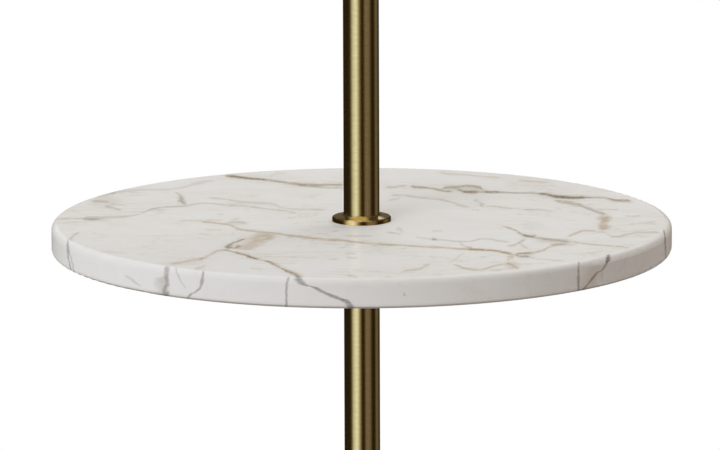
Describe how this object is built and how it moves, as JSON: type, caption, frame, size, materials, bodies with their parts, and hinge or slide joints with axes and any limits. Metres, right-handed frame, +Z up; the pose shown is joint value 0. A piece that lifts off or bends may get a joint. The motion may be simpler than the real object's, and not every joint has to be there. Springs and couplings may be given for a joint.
{
  "type": "shelf floor lamp",
  "caption": "Floor lamp with a round marble shelf on its brass pole, a round weighted base, a harp and a tapered fabric shade over a turn-switch lampholder.",
  "frame": {"origin": "on the floor, under the middle of the base", "axes": "+Z up the pole, the switch knob faces -Y and the cord gland faces +Y"},
  "size_m": [0.4068, 0.4068, 1.515],
  "materials": {
    "felt": "pressed felt",
    "cast_weight": "rough cast",
    "cover_brass": "brushed antique",
    "pole_brass": "brushed antique",
    "ring_brass": "turned and lacquered",
    "plug_brass": "machined",
    "zinc_steel": "zinc plated",
    "black_rubber": "matte",
    "nylon": "moulded",
    "marble": "polished, veined",
    "harp_brass": "brass plated",
    "fitting_brass": "turned and lacquered",
    "holder_brass": "spun and lacquered",
    "liner_card": "pressed card",
    "holder_plastic": "moulded phenolic",
    "contact_brass": "stamped",
    "bulb_metal": "nickel plated",
    "insulator": "black",
    "bulb_plastic": "white",
    "bulb_opal": "opal",
    "shade_wire": "brass plated",
    "shade_lining": "satin white",
    "shade_linen": "woven linen",
    "shade_tape": "woven tape"
  },
  "bodies": {
    "stand": {"felt_pad": "felt", "base_weight": "cast_weight", "base_cover": "cover_brass", "cord_gland": "black_rubber", "base_washer": "zinc_steel", "base_nut": "zinc_steel", "base_stud": "zinc_steel", "base_ring": "ring_brass", "pole_lower": "pole_brass", "pole_middle": "pole_brass", "pole_upper": "pole_brass", "pole_plugs": "plug_brass", "shelf_ring_lower": "ring_brass", "shelf_plate": "cover_brass", "shelf_pad": "black_rubber", "marble_shelf": "marble", "shelf_bush": "nylon", "shelf_washer": "black_rubber", "shelf_ring_upper": "ring_brass", "shelf_stud": "zinc_steel", "pole_joiner": "zinc_steel", "top_stud": "zinc_steel", "neck_cap": "ring_brass", "harp_saddle": "harp_brass", "harp": "harp_brass", "harp_seat": "harp_brass", "socket_cap": "holder_brass", "socket_shell": "holder_brass", "socket_liner": "liner_card", "socket_body": "holder_plastic", "screw_shell": "contact_brass", "centre_contact": "contact_brass", "terminal_screws": "contact_brass"},
    "switch": {"switch_spindle": "zinc_steel", "switch_knob": "fitting_brass"},
    "bulb": {"bulb_contact": "contact_brass", "bulb_insulator": "insulator", "bulb_cap": "bulb_metal", "bulb_body": "bulb_plastic", "bulb_globe": "bulb_opal"},
    "shade": {"spider_fitter": "shade_wire", "shade_top_ring": "shade_wire", "shade_bottom_ring": "shade_wire", "shade_liner": "shade_lining", "shade_fabric": "shade_linen", "shade_tapes": "shade_tape"},
    "finial": {"finial": "fitting_brass"},
    "sleeve_left": {"harp_sleeve_left": "fitting_brass"},
    "sleeve_right": {"harp_sleeve_right": "fitting_brass"}
  },
  "joints": [
    {"name": "switch_turn", "type": "hinge", "parent": "stand", "child": "switch", "pos_m": [0, -0.02, 1.287], "axis": [0, -1, 0], "continuous": true},
    {"name": "bulb_lift", "type": "slide", "parent": "stand", "child": "bulb", "axis": [0, 0, 1], "range_m": [0, 0.026]},
    {"name": "shade_lift", "type": "slide", "parent": "stand", "child": "shade", "axis": [0, 0, 1], "range_m": [0, 0.27]},
    {"name": "finial_turn", "type": "hinge", "parent": "shade", "child": "finial", "pos_m": [0, 0, 1.5], "axis": [0, 0, 1], "continuous": true},
    {"name": "sleeve_left_lift", "type": "slide", "parent": "stand", "child": "sleeve_left", "axis": [0, 0, 1], "range_m": [0, 0.024]},
    {"name": "sleeve_right_lift", "type": "slide", "parent": "stand", "child": "sleeve_right", "axis": [0, 0, 1], "range_m": [0, 0.024]}
  ]
}
